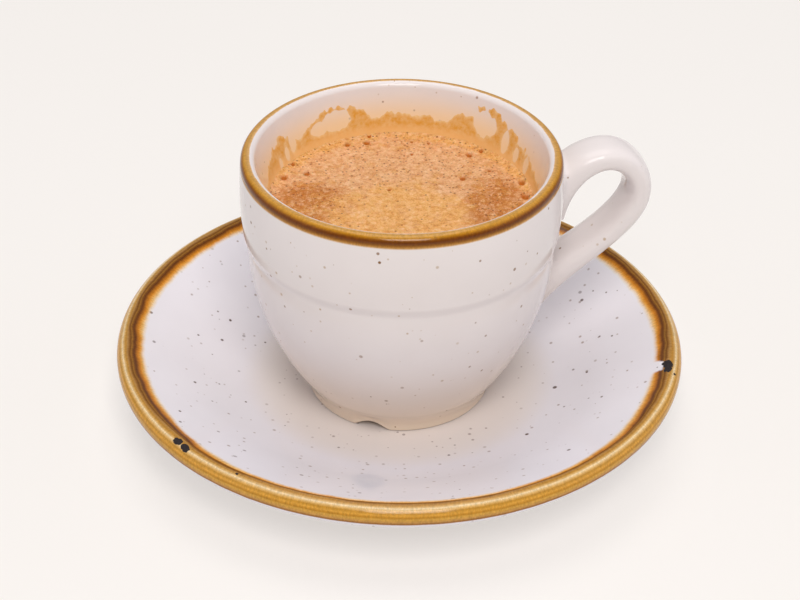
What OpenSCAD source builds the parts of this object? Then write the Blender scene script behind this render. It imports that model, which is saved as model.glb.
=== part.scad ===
// Espresso in a small round stoneware cup, standing on its saucer.
// Origin: middle of the saucer's underside, at table level. The cup's handle points along +X.

/* [Saucer] */
// Width across the saucer
saucer_d = 118; // [108:1:142]
// Height of the lip's crest above the table
saucer_h = 17.6; // [15:0.2:21.2]
// Thickness of the rolled lip
saucer_lip_t = 5; // [3.6:0.2:6]
// Slope of the sides below the lip, in degrees
saucer_slope = 26; // [22:1:31]
// Height of the flat seat that the cup stands on
seat_h = 5.5; // [4.6:0.1:6.6]
// Radius of the foot ring's outer face
saucer_foot_r = 33.5; // [28:0.5:36]
// Width of the foot ring
saucer_foot_w = 3.6; // [2.4:0.2:5]
// Depth of the hollow inside the foot ring
saucer_hollow_h = 1.6; // [0.8:0.1:2.2]

/* [Cup body] */
// Width across the rim
rim_d = 64; // [58:0.5:72]
// Height of the cup without its saucer
cup_h = 55; // [50:0.5:66]
// Thickness of the rounded lip
rim_lip_t = 2.9; // [2.2:0.1:3.6]
// How far the upper band swells out past the rim
band_swell = 0.35; // [0:0.05:0.8]
// Height of the soft step between the upper band and the belly
step_h = 36.2; // [28:0.2:43]
// How far the belly is set in below the step
step_in = 0.75; // [0.3:0.05:1.2]

/* [Cup foot] */
// Radius of the foot where it stands
foot_r = 19; // [16:0.2:20.5]
// Height of the foot up to the neck
foot_h = 2.6; // [1.8:0.1:3.6]
// Width of the foot ring
foot_w = 3.4; // [2.4:0.2:4.6]
// Depth of the hollow under the cup
hollow_h = 2.2; // [1.4:0.1:3]
// Width of the drain notch across the foot ring
notch_w = 7.8; // [5:0.2:10]
// Height of the drain notch
notch_h = 1.8; // [1:0.1:2.2]
// Direction of the drain notch, in degrees from the handle
notch_turn = -118; // [-170:1:170]

/* [Inside] */
// Height of the cavity's floor above the cup's foot
floor_h = 7; // [5:0.2:9]
// Depth of the coffee's surface below the rim
fill_depth = 11; // [8:0.2:18]
// Thickness of the wall at the coffee's surface
wall_at_fill = 5.7; // [4.4:0.1:6.8]
// Radius of the cavity's curve, seen from the side
cavity_curve_r = 85; // [71:1:102]

/* [Handle] */
// Depth below the rim at which the handle's spine enters the wall
handle_drop = 13.1; // [11:0.1:15.7]
// Angle at which the spine rises out of the wall
handle_rise = 62; // [52:1:68]
// Radius of the bend where the handle rises from the wall
rise_bend_r = 18.3; // [15.4:0.1:22]
// Radius of the bend over the top of the handle
crown_bend_r = 7.3; // [6:0.1:8.8]
// Radius of the bend at the back of the handle
back_bend_r = 9.2; // [7.6:0.1:11]
// Thickness of the strap, seen from the side
strap_t = 5.2; // [4.2:0.1:6.4]
// Width of the strap
strap_w = 9.6; // [7.6:0.1:11.4]
// How far the web under the upper root starts below the strap
web_drop = 7.9; // [6.6:0.1:9]

/* [Hidden] */
$fn = 144;

glaze = "#e4ddd9";
crema = "#dfa257";

// A point at a radius r and an angle a around the point c
function polar(c, r, a) = c + r * [cos(a), sin(a)];

// Points along an arc around c, from angle a to angle b, in about n steps
function arc(c, r, a, b, n) = [for (i = [0 : n]) polar(c, r, a + (b - a) * i / n)];

// Saucer: the sides run straight at saucer_slope, tangent to the lip and blended into the seat
seat_r = foot_r + 2;
lip_round = saucer_lip_t / 2;
lip_c = [saucer_d / 2 - lip_round, saucer_h - lip_round];
side_top = polar(lip_c, lip_round, saucer_slope + 90);
side_start_r = side_top[0] - (side_top[1] - seat_h) / tan(saucer_slope);
blend_r = (side_start_r - seat_r) / tan(saucer_slope / 2);
blend_c = [seat_r, seat_h + blend_r];

// Saucer: the underside runs from the foot ring, tangent to the lip from below
edge_round = 0.7;
under_start = [saucer_foot_r + 0.5, saucer_hollow_h + 1.6];
under_span = lip_c - under_start;
under_slope = atan2(under_span[1], under_span[0]) - asin(lip_round / norm(under_span));

// Cup: where the curves of the outside meet
rim_round = rim_lip_t / 2;
rim_r = rim_d / 2;
rim_c = [rim_r - rim_round, cup_h - rim_round];
band_mid_h = (step_h + cup_h) / 2 + 1;
band_r = rim_r + band_swell;
band_half = rim_c[1] - band_mid_h;
band_curve_r = (pow(band_half, 2) + pow(band_swell, 2)) / (2 * band_swell + 0.001);
band_foot_h = step_h + 1.2;
band_foot_r = band_r - band_curve_r + sqrt(pow(band_curve_r, 2) - pow(band_mid_h - band_foot_h, 2));
belly_top_r = rim_r - step_in;
neck = [foot_r - 0.3, foot_h - 0.4];
belly_start = [foot_r + 0.24, foot_h];
belly_top_h = step_h + 1.4;
belly_in = belly_top_r - belly_start[0];
belly_rise = belly_top_h - belly_start[1];
belly_curve_r = (pow(belly_in, 2) + pow(belly_rise, 2)) / (2 * belly_in);
belly_c = [belly_top_r - belly_curve_r, belly_top_h];

// Cavity: a wall curve and a round bottom that run into each other without a corner
fill_h = cup_h - fill_depth;
fill_r = rim_r + band_swell - wall_at_fill;
wall_c = [fill_r - cavity_curve_r, fill_h];
bowl_span = fill_h - floor_h;
bowl_top = pow(cavity_curve_r, 2) - pow(wall_c[0], 2) - pow(bowl_span, 2);
bowl_r = bowl_top / (2 * (cavity_curve_r - bowl_span));
bowl_c = [0, floor_h + bowl_r];
bowl_end = atan2(bowl_c[1] - wall_c[1], -wall_c[0]);
mouth_slope = atan2(rim_c[1] - fill_h, rim_c[0] - rim_round - fill_r);

// Handle: each bend is [radius of the spine, turn in degrees], one after another from the upper root
root = [rim_r - 3, cup_h - handle_drop];
strap_bends = [[rise_bend_r, 43], [crown_bend_r, 91.6], [back_bend_r, 61], [158, 12.4]];
web_root = root - [0, web_drop];
web_rise = handle_rise + 15.5;
web_bends = [[38, 23.5], [7.4, 62]];
web_trim = 0.7;

// Rounded section of a strap, t thick and w wide
section_points = 28;
section_power = 2.7;
function section(t, w) = [
    for (j = [0 : section_points - 1])
        let (a = 360 * (j + 0.5) / section_points)
        [
            t / 2 * sign(cos(a)) * pow(abs(cos(a)), 2 / section_power),
            w / 2 * sign(sin(a)) * pow(abs(sin(a)), 2 / section_power)
        ]
];

// Outline of the saucer's section, from the middle of the seat outwards and back underneath
function saucer_outline() = concat(
    [[0, seat_h]],
    arc(blend_c, blend_r, -90, saucer_slope - 90, 10),
    arc(lip_c, lip_round, saucer_slope + 90, under_slope - 90, 22),
    [under_start],
    arc([saucer_foot_r - edge_round, edge_round], edge_round, 0, -90, 5),
    arc([saucer_foot_r - saucer_foot_w + edge_round, edge_round], edge_round, -90, -180, 5),
    [[saucer_foot_r - saucer_foot_w - 0.6, saucer_hollow_h], [0, saucer_hollow_h]]
);

// Outline of the cup without its cavity, from the middle of its underside up to the lip
function cup_outline() = concat(
    [[0, hollow_h], [foot_r - foot_w - 0.8, hollow_h]],
    arc([foot_r - foot_w + 0.5, 0.5], 0.5, 180, 270, 4),
    arc([foot_r - 0.5, 0.5], 0.5, -90, 0, 4),
    [neck],
    arc(belly_c, belly_curve_r, -asin(belly_rise / belly_curve_r), -asin((belly_top_h - step_h) / belly_curve_r), 20),
    [for (i = [1 : 4])
        let (ease = (1 - cos(36 * i)) / 2)
        [belly_top_r + (band_foot_r - belly_top_r) * ease, step_h + (band_foot_h - step_h) * i / 5]],
    [for (i = [0 : 8])
        let (h = band_foot_h + (rim_c[1] - band_foot_h) * i / 8)
        [band_r - band_curve_r + sqrt(pow(band_curve_r, 2) - pow(h - band_mid_h, 2)), h]],
    arc(rim_c, rim_round, 8, 90, 8),
    [[0, cup_h]]
);

// Outline of the cavity up to the height h, from the middle of its floor outwards
function cavity_outline(h) = concat(
    arc(bowl_c, bowl_r, -90, bowl_end, 18),
    arc(wall_c, cavity_curve_r, bowl_end, 0, 10),
    h > fill_h ? mouth_outline(h) : [],
    [[0, h]]
);

// The mouth widens from the coffee's surface to the inside of the lip
function mouth_outline(h) = concat(
    arc(rim_c, rim_round, 90 + mouth_slope, 90, 10),
    [[rim_c[0], h]]
);

// The saucer: a shallow dish with a rolled lip and a foot ring
module saucer() {
    color(glaze)
    rotate_extrude()
    polygon(saucer_outline());
}

// One bend of a strap in the XZ plane: it starts at the origin heading along +X and turns downwards
module bend(radius, turn, t, w) {
    translate([0, 0, -radius])
    rotate([90, 0, 0])
    rotate([0, 0, 90 - turn])
    rotate_extrude(angle = turn)
    translate([radius, 0])
    polygon(section(t, w));
}

// A strap: its bends one after another, each carrying on from the end of the one before
module strap(bends, t, w, i = 0) {
    if (i < len(bends)) {
        radius = bends[i][0];
        turn = bends[i][1];
        bend(radius, turn, t, w);
        translate([0, 0, -radius])
        rotate([0, turn, 0])
        translate([0, 0, radius])
        strap(bends, t, w, i + 1);
    }
}

// The loop of the handle, with its roots inside the cup's wall
module handle() {
    translate([root[0], 0, root[1]])
    rotate([0, -handle_rise, 0])
    strap(strap_bends, strap_t, strap_w);
    translate([web_root[0], 0, web_root[1]])
    rotate([0, -web_rise, 0])
    strap(web_bends, strap_t - web_trim, strap_w - web_trim);
}

// The arched gap in the foot ring that lets water drain when the cup is upside down
module drain_notch() {
    notch_round = (pow(notch_w / 2, 2) + pow(notch_h, 2)) / (2 * notch_h);
    rotate([0, 0, notch_turn])
    translate([foot_r - foot_w - 2, 0, notch_h - notch_round])
    rotate([0, 90, 0])
    cylinder(r = notch_round, h = foot_w + 4);
}

// The cup: body and handle are one piece of stoneware
module cup() {
    color(glaze)
    translate([0, 0, seat_h])
    difference() {
        union() {
            rotate_extrude()
            polygon(cup_outline());
            handle();
        }
        rotate_extrude()
        polygon(cavity_outline(cup_h + 1));
        drain_notch();
    }
}

// The coffee with its crema, up to the surface
module espresso() {
    color(crema)
    translate([0, 0, seat_h])
    rotate_extrude()
    polygon(cavity_outline(fill_h));
}

saucer();
cup();
espresso();
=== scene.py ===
"""An espresso with its crema in a small speckled stoneware cup, standing on its saucer.

Sizes are in millimetres in the dataclasses and become metres where a mesh is written.
"""

import logging
import math
from dataclasses import dataclass
from enum import Enum
from typing import Any

import bmesh
import bpy
import numpy as np
from mathutils import Euler, Matrix, Vector, noise


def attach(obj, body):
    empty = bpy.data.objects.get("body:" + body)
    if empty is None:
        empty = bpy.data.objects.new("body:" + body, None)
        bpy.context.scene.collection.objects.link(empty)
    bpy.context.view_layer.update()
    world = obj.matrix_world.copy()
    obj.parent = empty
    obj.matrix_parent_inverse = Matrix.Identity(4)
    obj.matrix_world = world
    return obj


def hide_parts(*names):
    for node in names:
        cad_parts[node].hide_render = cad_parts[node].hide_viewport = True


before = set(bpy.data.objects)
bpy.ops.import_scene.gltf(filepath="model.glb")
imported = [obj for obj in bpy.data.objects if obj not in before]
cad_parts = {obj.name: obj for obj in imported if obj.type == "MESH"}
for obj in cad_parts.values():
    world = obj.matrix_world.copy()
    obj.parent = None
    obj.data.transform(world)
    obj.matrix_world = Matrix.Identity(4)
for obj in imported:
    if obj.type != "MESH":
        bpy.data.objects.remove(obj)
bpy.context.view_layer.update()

MM = 0.001
# Points of a swept surface that lie closer than this are one point
WELD = 0.002 * MM
LOG = logging.getLogger("espresso")
Point = tuple[float, float]


class Slot(Enum):
    """The record's material slots."""

    SAUCER = "saucer_glaze"
    CUP = "cup_glaze"
    CREMA = "crema"


def linear(code: str) -> tuple[float, float, float, float]:
    """Turns an sRGB hex colour into a linear colour.

    Args:
        code: The colour, such as "#d9a74d".

    Returns:
        Linear red, green and blue, with alpha 1.
    """
    channels = [int(code[i : i + 2], 16) / 255 for i in (1, 3, 5)]
    red, green, blue = [c / 12.92 if c <= 0.04045 else ((c + 0.055) / 1.055) ** 2.4 for c in channels]
    return red, green, blue, 1.0


def add(
    tree: bpy.types.NodeTree, kind: str, links: dict[Any, Any] | None = None, **settings: Any
) -> bpy.types.Node:
    """Adds a node with its settings and links.

    Args:
        tree: The tree that takes the node.
        kind: The node's type name.
        links: Input name or number, and the value, socket or node it gets. A node
            gives its first output in use.
        **settings: Properties of the node.

    Returns:
        The new node.
    """
    node = tree.nodes.new(kind)
    for name, value in settings.items():
        setattr(node, name, value)
    for key, source in (links or {}).items():
        if isinstance(source, bpy.types.Node):
            source = next(socket for socket in source.outputs if socket.enabled)
        if isinstance(source, bpy.types.NodeSocket):
            tree.links.new(source, node.inputs[key])
        else:
            node.inputs[key].default_value = source
    return node


def blank_material(name: str) -> tuple[bpy.types.Material, bpy.types.NodeTree, bpy.types.NodeSocket]:
    """Starts a material with an empty tree.

    Args:
        name: The material's name.

    Returns:
        The material, its tree and its object coordinates.
    """
    material = bpy.data.materials.new(name)
    material.use_nodes = True
    tree = material.node_tree
    tree.nodes.clear()
    return material, tree, add(tree, "ShaderNodeTexCoord").outputs["Object"]


def smooth_step(low: float, high: float, value: np.ndarray) -> np.ndarray:
    """Eases from 0 at low to 1 at high.

    Args:
        low: Where the result is 0.
        high: Where the result is 1.
        value: Places to work out.

    Returns:
        The eased values.
    """
    t = np.clip((value - low) / (high - low), 0, 1)
    return t * t * (3 - 2 * t)


def arc(centre: Point, radius: float, start: float, end: float, steps: int) -> list[Point]:
    """Points along an arc.

    Args:
        centre: The arc's centre.
        radius: The arc's radius.
        start: Angle of the first point in degrees.
        end: Angle of the last point in degrees.
        steps: Number of steps between them.

    Returns:
        The points, both ends among them.
    """
    angles = np.radians(np.linspace(start, end, steps + 1))
    return [(centre[0] + radius * math.cos(a), centre[1] + radius * math.sin(a)) for a in angles]


def straight(start: Point, end: Point, steps: int) -> list[Point]:
    """Points strictly between two others.

    Args:
        start: The point before the first.
        end: The point after the last.
        steps: Number of steps between start and end.

    Returns:
        The points, without the two ends.
    """
    return [
        (
            start[0] + (end[0] - start[0]) * i / steps, start[1] + (end[1] - start[1]) * i / steps
        ) for i in range(1, steps)
    ]


def grain(point: Vector, size: float, seed: float = 0.0) -> float:
    """Smooth noise from -1 to 1 whose features measure about size.

    Args:
        point: Where, in mm.
        size: Feature size in mm.
        seed: Moves the pattern.

    Returns:
        The noise there.
    """
    return noise.noise(point / size + Vector((seed, seed * 1.7, seed * 0.6)))


def geometry_tree(name: str, inputs: dict[str, str]) -> tuple[bpy.types.NodeTree, bpy.types.Node]:
    """Starts a geometry tree.

    Args:
        name: The tree's name.
        inputs: Name and socket type of each input after the geometry.

    Returns:
        The tree and its input node.
    """
    tree = bpy.data.node_groups.new(name, "GeometryNodeTree")
    tree.interface.new_socket("Geometry", in_out="INPUT", socket_type="NodeSocketGeometry")
    for label, kind in {**inputs, "Finish": "NodeSocketMaterial"}.items():
        tree.interface.new_socket(label, in_out="INPUT", socket_type=kind)
    tree.interface.new_socket("Geometry", in_out="OUTPUT", socket_type="NodeSocketGeometry")
    return tree, add(tree, "NodeGroupInput")


def close_tree(tree: bpy.types.NodeTree, given: bpy.types.Node, shape: bpy.types.Node) -> None:
    """Ends a geometry tree: instances made real, shaded smooth, material set.

    Args:
        tree: The tree.
        given: Its input node, which holds "Finish".
        shape: The node that makes the geometry to hand out.
    """
    real = add(tree, "GeometryNodeRealizeInstances", {0: shape})
    even = add(tree, "GeometryNodeSetShadeSmooth", {0: real})
    dressed = add(tree, "GeometryNodeSetMaterial", {0: even, "Material": given.outputs["Finish"]})
    add(tree, "NodeGroupOutput", {0: dressed})


def grown(
    name: str, start: bpy.types.ID, tree: bpy.types.NodeTree, values: dict[str, Any]
) -> bpy.types.Object:
    """Runs a geometry tree on a mesh or curve and keeps the result as a plain mesh.

    Args:
        name: Name of the piece.
        start: Mesh or curve the tree begins with.
        tree: The geometry tree.
        values: Value of each named input.

    Returns:
        The piece, with no modifier left on it.
    """
    shaper = bpy.data.objects.new(name + "_start", start)
    bpy.context.scene.collection.objects.link(shaper)
    modifier = shaper.modifiers.new("shape", "NODES")
    modifier.node_group = tree
    for item in tree.interface.items_tree:
        if item.in_out == "INPUT" and item.name in values:
            modifier[item.identifier] = values[item.name]
    graph = bpy.context.evaluated_depsgraph_get()
    mesh = bpy.data.meshes.new_from_object(
        shaper.evaluated_get(graph), preserve_all_data_layers=True, depsgraph=graph
    )
    shaper.modifiers.remove(modifier)
    bpy.data.objects.remove(shaper)
    return placed(name, mesh)


def placed(name: str, mesh: bpy.types.Mesh) -> bpy.types.Object:
    """Puts a mesh into the scene.

    Args:
        name: Name of the piece.
        mesh: Its mesh.

    Returns:
        The object that shows it.
    """
    mesh.name = name
    piece = bpy.data.objects.new(name, mesh)
    bpy.context.scene.collection.objects.link(piece)
    return piece


def plain_mesh(
    name: str, points: np.ndarray, edges: list, faces: list, marks: dict[str, np.ndarray]
) -> bpy.types.Mesh:
    """Makes a mesh from millimetre points.

    Args:
        name: Name of the mesh.
        points: Its points in mm.
        edges: Its loose edges.
        faces: Its faces.
        marks: Float attributes on its points.

    Returns:
        The mesh, in metres.
    """
    mesh = bpy.data.meshes.new(name)
    mesh.from_pydata((np.asarray(points) * MM).tolist(), edges, faces)
    for label, values in marks.items():
        mark(mesh, label, values)
    return mesh


def mark(mesh: bpy.types.Mesh, label: str, values: np.ndarray) -> None:
    """Writes a float attribute on a mesh's points.

    Args:
        mesh: The mesh.
        label: The attribute's name.
        values: One value for each point.
    """
    layer = mesh.attributes.get(label) or mesh.attributes.new(label, "FLOAT", "POINT")
    layer.data.foreach_set("value", np.asarray(values, np.float32))


def points_of(mesh: bpy.types.Mesh) -> np.ndarray:
    """A mesh's points in mm."""
    flat = np.zeros(len(mesh.vertices) * 3)
    mesh.vertices.foreach_get("co", flat)
    return flat.reshape(-1, 3) / MM


def move_points(mesh: bpy.types.Mesh, points: np.ndarray) -> None:
    """Moves a mesh's points to these places in mm."""
    mesh.vertices.foreach_set("co", (points * MM).ravel())
    mesh.update()


def ride_root(piece: bpy.types.Object, slot: Slot, *nodes: str) -> None:
    """Hands a finished piece to the frame.

    Args:
        piece: The piece.
        slot: The record's slot; not used.
        nodes: CAD nodes it stands for.
    """
    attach(piece, "root")
    if nodes:
        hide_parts(*nodes)
    LOG.info("%s: %d points, %d faces", piece.name, len(piece.data.vertices), len(piece.data.polygons))


@dataclass(frozen=True)
class Speck:
    """Iron specks that melt out of the body and bleed through the white glaze."""

    spacing: float
    radius: float
    share: float
    softness: float
    colour: str


@dataclass(frozen=True)
class EdgeBand:
    """The iron-brown glaze wiped round an edge, by distance in mm from the crest.

    The borders fray by rag, and the colours inside the crest wander by sway.
    """

    outer: float
    inner: float
    outer_fade: float
    inner_fade: float
    rag: float
    sway: float
    # Colours by distance; on the saucer some stops are a painted highlight along the crest
    colours: tuple[tuple[float, str], ...]


@dataclass(frozen=True)
class StonewareGlaze:
    """Glossy off-white glaze, fired on stoneware, with an iron band at the edge.

    The eye sees a thick clear gloss over a milky body, small dark and tan specks
    that sit in the glaze, and an ochre to dark brown edge with a streaked, ragged run.
    """

    name: str
    white: str
    shade: str
    specks: tuple[Speck, ...]
    band: EdgeBand
    streak_radius: float
    # Painted shade: a warmer, darker tint low down, with warm bounce light, faded in over these heights in
    # mm
    painted_warm_shade: str
    painted_shade_heights: tuple[float, float]
    stained: str
    stain_reach: tuple[float, float]
    broken: str = "#2b2526"

    def polar(self, tree: bpy.types.NodeTree, spot: Any, across: Any, pull: float) -> Any:
        """Coordinates that stay the same across the edge, so that noise runs in streaks.

        Args:
            tree: The material's tree.
            spot: Object coordinates.
            across: Distance from the crest in mm.
            pull: How much of the distance across is kept.

        Returns:
            The coordinate socket, in metres.
        """
        flat = add(tree, "ShaderNodeVectorMath", {0: spot, 1: (1, 1, 0)}, operation="MULTIPLY")
        unit = add(tree, "ShaderNodeVectorMath", {0: flat}, operation="NORMALIZE")
        ring = add(
            tree, "ShaderNodeVectorMath", {0: unit, "Scale": self.streak_radius * MM}, operation="SCALE"
        )
        lift = add(tree, "ShaderNodeMath", {0: across, 1: pull * MM}, operation="MULTIPLY")
        rise = add(tree, "ShaderNodeCombineXYZ", {"Z": lift})
        return add(tree, "ShaderNodeVectorMath", {0: ring, 1: rise}, operation="ADD")

    def speckled(self, tree: bpy.types.NodeTree, spot: Any, base: Any) -> Any:
        """Lays the specks over a colour.

        Args:
            tree: The material's tree.
            spot: Object coordinates.
            base: Colour below the specks.

        Returns:
            The colour socket.
        """
        for number, speck in enumerate(self.specks):
            moved = add(
                tree, "ShaderNodeVectorMath", {0: spot, 1: (0.31 * number, 0.17 * number, 0.05 * number)},
                operation="ADD"
            )
            cells = add(tree, "ShaderNodeTexVoronoi", {0: moved, "Scale": 1 / (speck.spacing * MM)})
            luck = add(tree, "ShaderNodeSeparateColor", {0: cells.outputs["Color"]})
            chosen = add(
                tree, "ShaderNodeMath", {0: luck.outputs[0], 1: speck.share}, operation="LESS_THAN"
            )
            size = add(
                tree, "ShaderNodeMapRange",
                {
                    0: luck.outputs[1], 3: 0.45 * speck.radius / speck.spacing,
                    4: 1.25 * speck.radius / speck.spacing
                }
            )
            core = add(tree, "ShaderNodeMath", {0: size, 1: 1 - speck.softness}, operation="MULTIPLY")
            dot = add(
                tree, "ShaderNodeMapRange",
                {0: cells.outputs["Distance"], 1: core, 2: size, 3: 1.0, 4: 0.0},
                interpolation_type="SMOOTHSTEP"
            )
            depth = add(tree, "ShaderNodeMapRange", {0: luck.outputs[2], 3: 0.45, 4: 1.0})
            both = add(tree, "ShaderNodeMath", {0: dot, 1: chosen}, operation="MULTIPLY")
            seen = add(tree, "ShaderNodeMath", {0: both, 1: depth}, operation="MULTIPLY")
            base = add(tree, "ShaderNodeMix", {0: seen, 6: base, 7: linear(speck.colour)}, data_type="RGBA")
        return base

    def build(self) -> bpy.types.Material:
        """Makes the material.

        Returns:
            The material.
        """
        material, tree, spot = blank_material(self.name)
        across = add(tree, "ShaderNodeAttribute", attribute_name="across").outputs["Fac"]
        chip = add(tree, "ShaderNodeAttribute", attribute_name="chip").outputs["Fac"]
        bare = add(tree, "ShaderNodeAttribute", attribute_name="bare").outputs["Fac"]

        # The white glaze pools a little, over about 12 mm
        pool = add(tree, "ShaderNodeTexNoise", {0: spot, "Scale": 1 / (12 * MM), "Detail": 3.0})
        milky = add(
            tree, "ShaderNodeMix", {0: pool, 6: linear(self.white), 7: linear(self.shade)}, data_type="RGBA"
        )
        # Low down the glaze gets a warmer, darker painted shade with warm bounce light (round the cup's
        # foot on the saucer, towards the foot on the cup), and coffee tints the wall inside
        height = add(tree, "ShaderNodeSeparateXYZ", {0: spot}).outputs["Z"]
        colour = milky
        for source, (start, end), unit, stain_and_shade_tint in (
            (height, self.painted_shade_heights, MM, self.painted_warm_shade), (across, self.stain_reach, 1.0, self.stained)
        ):
            amount = add(
                tree, "ShaderNodeMapRange", {0: source, 1: start * unit, 2: end * unit},
                interpolation_type="SMOOTHSTEP"
            )
            colour = add(tree, "ShaderNodeMix", {0: amount, 6: colour, 7: linear(stain_and_shade_tint)}, data_type="RGBA")
        white = self.speckled(tree, spot, colour)

        # The band's borders wander over about 4 mm and fray over about 0.5 mm
        drift = add(
            tree, "ShaderNodeTexNoise",
            {0: self.polar(tree, spot, across, 0.5), "Scale": 1 / (3.5 * MM), "Detail": 2.0}
        )
        fray = add(
            tree, "ShaderNodeTexNoise",
            {
                0: self.polar(tree, spot, across, 0.25), "Scale": 1 / (0.55 * MM), "Detail": 3.0,
                "Roughness": 0.6
            }
        )
        slow = add(
            tree, "ShaderNodeMapRange", {0: drift, 1: 0.3, 2: 0.7, 3: -self.band.rag, 4: self.band.rag}
        )
        quick = add(
            tree, "ShaderNodeMapRange",
            {0: fray, 1: 0.3, 2: 0.7, 3: -0.45 * self.band.rag, 4: 0.45 * self.band.rag}
        )
        wander = add(tree, "ShaderNodeMath", {0: slow, 1: quick}, operation="ADD")
        # The run is raggeder away from the crest
        reach = add(tree, "ShaderNodeMapRange", {0: across, 1: -0.6, 2: self.band.inner, 3: 0.25, 4: 1.0})
        swing = add(tree, "ShaderNodeMath", {0: wander, 1: reach}, operation="MULTIPLY")
        place = add(tree, "ShaderNodeMath", {0: across, 1: swing}, operation="ADD")
        # Inside the crest the iron lay thicker in some places, over about 16 mm
        thick = add(
            tree, "ShaderNodeTexNoise",
            {0: self.polar(tree, spot, across, 0.0), "Scale": 1 / (16 * MM), "Detail": 2.0}
        )
        most = add(
            tree, "ShaderNodeMapRange", {0: across, 1: -0.9, 2: 0.3, 3: 0.0, 4: self.band.sway},
            interpolation_type="SMOOTHSTEP"
        )
        sway = add(tree, "ShaderNodeMapRange", {0: thick, 1: 0.35, 2: 0.65, 3: -1.0, 4: 1.0})
        shifted = add(tree, "ShaderNodeMath", {0: sway, 1: most, 2: place}, operation="MULTIPLY_ADD")
        low, high = self.band.colours[0][0], self.band.colours[-1][0]
        along = add(tree, "ShaderNodeMapRange", {0: shifted, 1: low, 2: high})
        ramp = add(tree, "ShaderNodeValToRGB", {0: along})
        stops = ramp.color_ramp.elements
        while len(stops) > 1:
            stops.remove(stops[-1])
        for number, (distance, colour) in enumerate(self.band.colours):
            position = (distance - low) / (high - low)
            stop = stops[0] if number == 0 else stops.new(position)
            stop.position = position
            stop.color = linear(colour)

        # Fine streaks and grains in the iron glaze
        streak = add(
            tree, "ShaderNodeTexNoise",
            {
                0: self.polar(tree, spot, across, 0.6), "Scale": 1 / (0.42 * MM), "Detail": 5.0,
                "Roughness": 0.75
            }
        )
        tone = add(tree, "ShaderNodeMapRange", {0: streak, 1: 0.3, 2: 0.7, 3: 0.7, 4: 1.22})
        iron = add(tree, "ShaderNodeVectorMath", {0: ramp, "Scale": tone}, operation="SCALE")
        inside = add(
            tree, "ShaderNodeMapRange",
            {
                0: place, 1: self.band.inner - self.band.inner_fade,
                2: self.band.inner + self.band.inner_fade, 3: 1.0, 4: 0.0
            },
            interpolation_type="SMOOTHSTEP"
        )
        outside = add(
            tree, "ShaderNodeMapRange",
            {
                0: place, 1: self.band.outer - self.band.outer_fade,
                2: self.band.outer + self.band.outer_fade
            },
            interpolation_type="SMOOTHSTEP"
        )
        cover = add(tree, "ShaderNodeMath", {0: inside, 1: outside}, operation="MULTIPLY")
        wiped = add(tree, "ShaderNodeMath", {0: 1.0, 1: bare}, operation="SUBTRACT")
        banded = add(tree, "ShaderNodeMath", {0: cover, 1: wiped}, operation="MULTIPLY")
        coloured = add(tree, "ShaderNodeMix", {0: banded, 6: white, 7: iron}, data_type="RGBA")
        hurt = add(tree, "ShaderNodeMapRange", {0: chip, 1: 0.35, 2: 0.6}, interpolation_type="SMOOTHSTEP")
        final = add(tree, "ShaderNodeMix", {0: hurt, 6: coloured, 7: linear(self.broken)}, data_type="RGBA")
        gloss = add(tree, "ShaderNodeMapRange", {0: banded, 3: 0.09, 4: 0.14})
        rough = add(tree, "ShaderNodeMix", {0: hurt, 2: gloss, 3: 0.75}, data_type="FLOAT")
        # Glaze settles in soft waves about 5 mm long; breaks are gritty at 0.3 mm
        waves = add(tree, "ShaderNodeTexNoise", {0: spot, "Scale": 1 / (5 * MM), "Detail": 1.0})
        grit = add(tree, "ShaderNodeTexNoise", {0: spot, "Scale": 1 / (0.3 * MM), "Detail": 3.0})
        gritty = add(tree, "ShaderNodeMath", {0: grit, 1: hurt}, operation="MULTIPLY")
        relief = add(tree, "ShaderNodeMath", {0: gritty, 1: 6.0, 2: waves}, operation="MULTIPLY_ADD")
        bump = add(tree, "ShaderNodeBump", {"Strength": 0.5, "Distance": 0.02 * MM, "Height": relief})
        shader = add(
            tree, "ShaderNodeBsdfPrincipled",
            {"Base Color": final, "Roughness": rough, "Normal": bump, "IOR": 1.34}
        )
        add(tree, "ShaderNodeOutputMaterial", {0: shader})
        return material


@dataclass(frozen=True)
class BareStoneware:
    """Unglazed stoneware, fired: pale buff, dry and slightly sandy where it was wiped."""

    name: str = "bare_stoneware_fired"
    colour: str = "#cfc2b2"
    dark: str = "#b5a48f"

    def build(self) -> bpy.types.Material:
        """Makes the material.

        Returns:
            The material.
        """
        material, tree, spot = blank_material(self.name)
        sand = add(tree, "ShaderNodeTexNoise", {0: spot, "Scale": 1 / (0.6 * MM), "Detail": 4.0})
        body = add(
            tree, "ShaderNodeMix", {0: sand, 6: linear(self.colour), 7: linear(self.dark)}, data_type="RGBA"
        )
        bump = add(tree, "ShaderNodeBump", {"Strength": 0.6, "Distance": 0.05 * MM, "Height": sand})
        shader = add(
            tree, "ShaderNodeBsdfPrincipled", {"Base Color": body, "Roughness": 0.85, "Normal": bump}
        )
        add(tree, "ShaderNodeOutputMaterial", {0: shader})
        return material


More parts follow.
